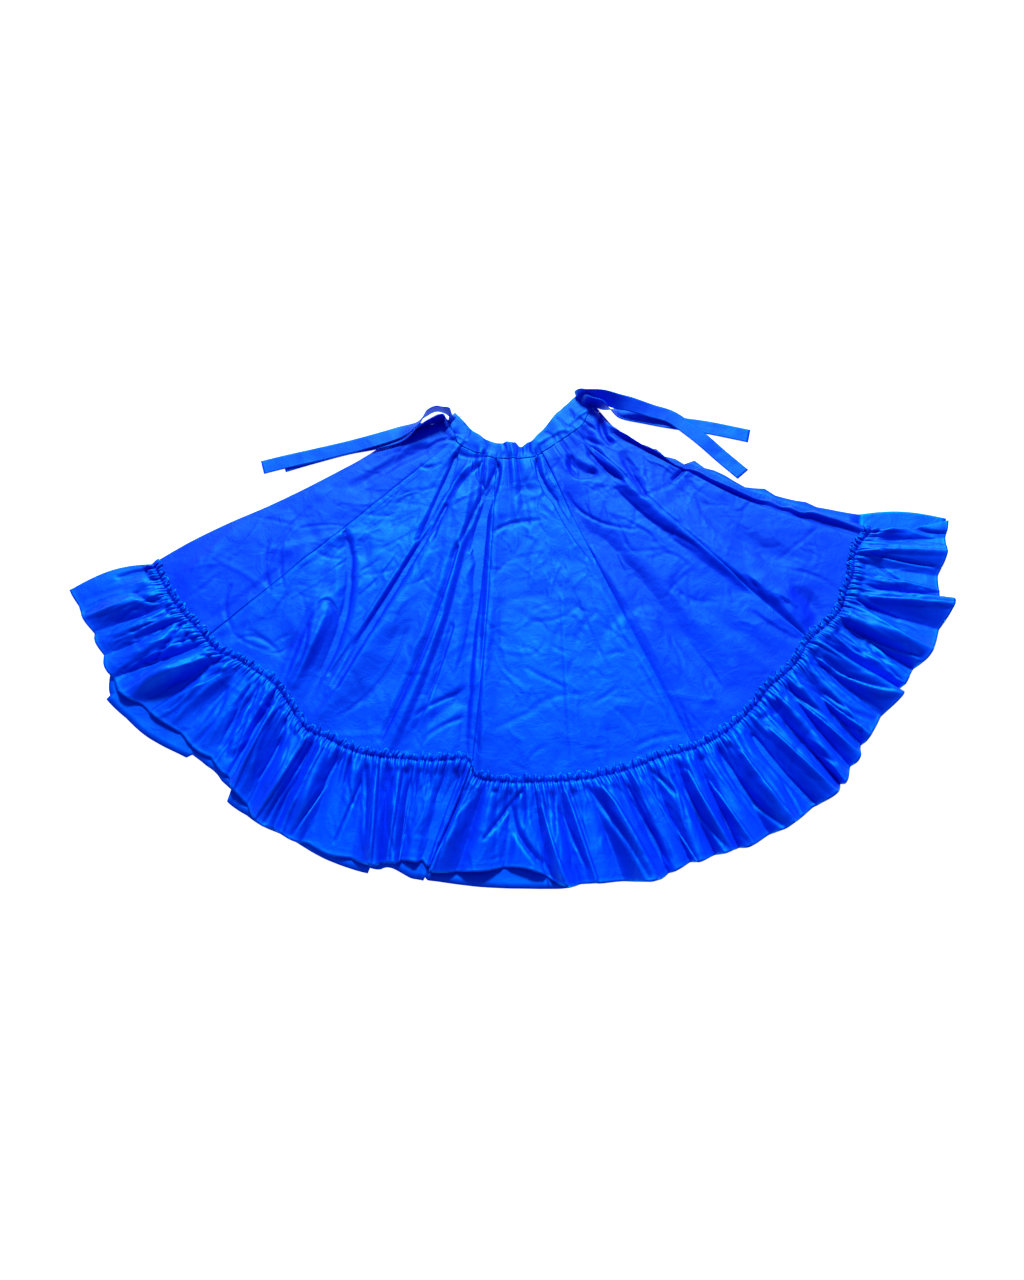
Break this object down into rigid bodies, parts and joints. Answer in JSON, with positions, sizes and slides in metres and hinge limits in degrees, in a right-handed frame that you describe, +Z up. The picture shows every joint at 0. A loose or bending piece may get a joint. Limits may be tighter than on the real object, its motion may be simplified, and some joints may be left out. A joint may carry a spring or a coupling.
{
  "type": "folklorico skirt",
  "caption": "Long flared dance skirt laid out flat, with a gathered waistband, ties at both sides and a deep gathered ruffle along the hem.",
  "frame": {"origin": "on the surface that the skirt lies on, under the middle of the laid-out garment's box", "axes": "+X across the laid-out skirt from its left side to its right, +Y from the hem towards the waist, +Z up out of the surface"},
  "size_m": [1.7808, 1.0922, 0.0361],
  "materials": {
    "panels": "smooth royal blue polyester taffeta with a soft satin sheen and light crumple creases",
    "ruffle": "the same royal blue taffeta, gathered, with a narrow turned hem",
    "waistband": "the same royal blue taffeta, folded double and topstitched",
    "ties": "the same royal blue taffeta, narrow flat ties with stitched edges"
  },
  "bodies": {
    "root": {"front_left_side_gore": "panels", "front_left_gore": "panels", "front_centre_gore": "panels", "front_right_gore": "panels", "front_right_side_gore": "panels", "front_ruffle_1": "ruffle", "front_ruffle_2": "ruffle", "front_ruffle_3": "ruffle", "front_ruffle_4": "ruffle", "front_waistband": "waistband", "back_left_side_gore": "panels", "back_left_gore": "panels", "back_centre_gore": "panels", "back_right_gore": "panels", "back_right_side_gore": "panels", "back_ruffle_1": "ruffle", "back_ruffle_2": "ruffle", "back_ruffle_3": "ruffle", "back_ruffle_4": "ruffle", "back_waistband": "waistband", "tie_left_back": "ties", "tie_left_front": "ties", "tie_right_back": "ties", "tie_right_front": "ties"}
  },
  "joints": []
}
